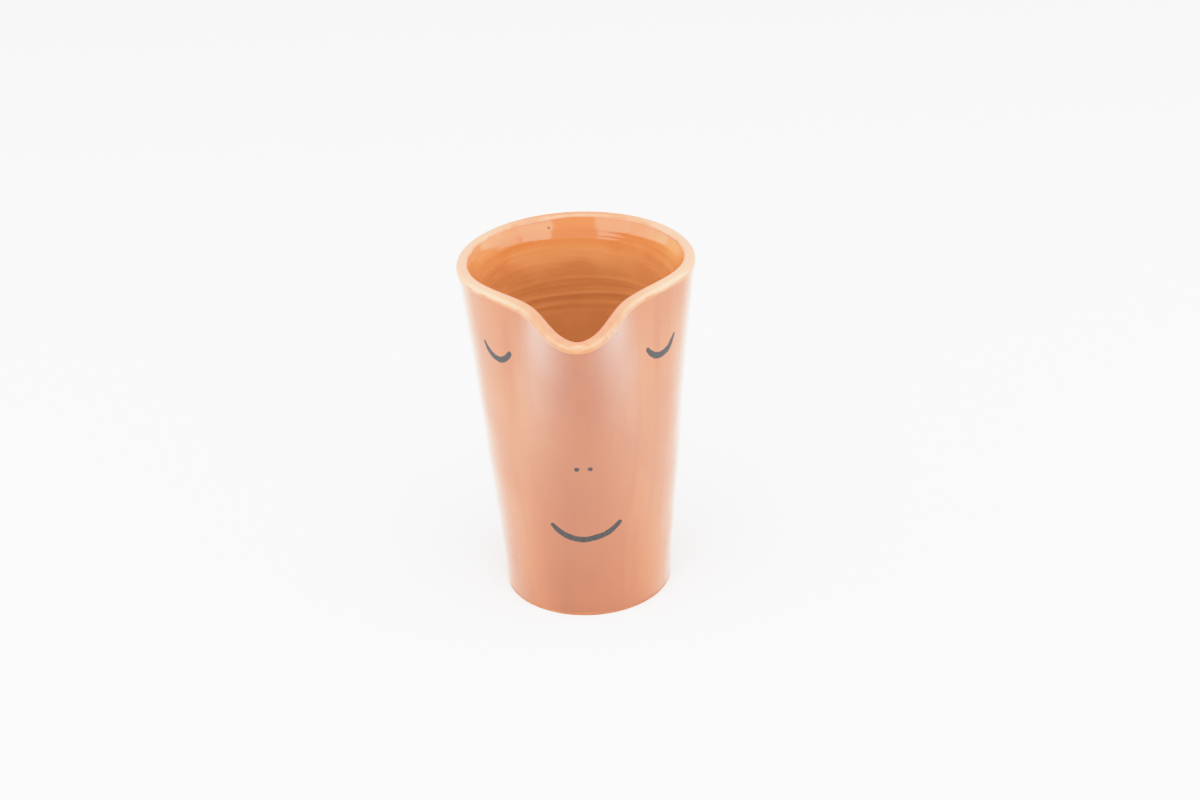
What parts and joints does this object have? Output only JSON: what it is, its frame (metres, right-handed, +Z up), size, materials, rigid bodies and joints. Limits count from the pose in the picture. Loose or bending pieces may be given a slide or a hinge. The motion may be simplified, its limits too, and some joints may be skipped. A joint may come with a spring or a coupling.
{
  "type": "ceramic pitcher",
  "caption": "Tall tapered thrown ceramic pitcher without a handle, with a long pulled spout, glazed inside and out and brush-painted with a simple sleeping face.",
  "frame": {"origin": "middle of the flat foot, on the axis of the potter's wheel, level with the table", "axes": "+Z up out of the mouth, -Y towards the spout and the painted face, +X to the right of someone who looks at the face"},
  "size_m": [0.1108, 0.1389, 0.17],
  "materials": {
    "clay": "matte",
    "outer_glaze": "gloss",
    "lip_glaze": "gloss",
    "liner_glaze": "gloss",
    "paint": "gloss"
  },
  "bodies": {
    "root": {"clay_body": "clay", "outer_glaze": "outer_glaze", "lip_glaze": "lip_glaze", "liner_glaze": "liner_glaze", "left_eye": "paint", "right_eye": "paint", "left_nostril": "paint", "right_nostril": "paint", "mouth": "paint"}
  },
  "joints": []
}
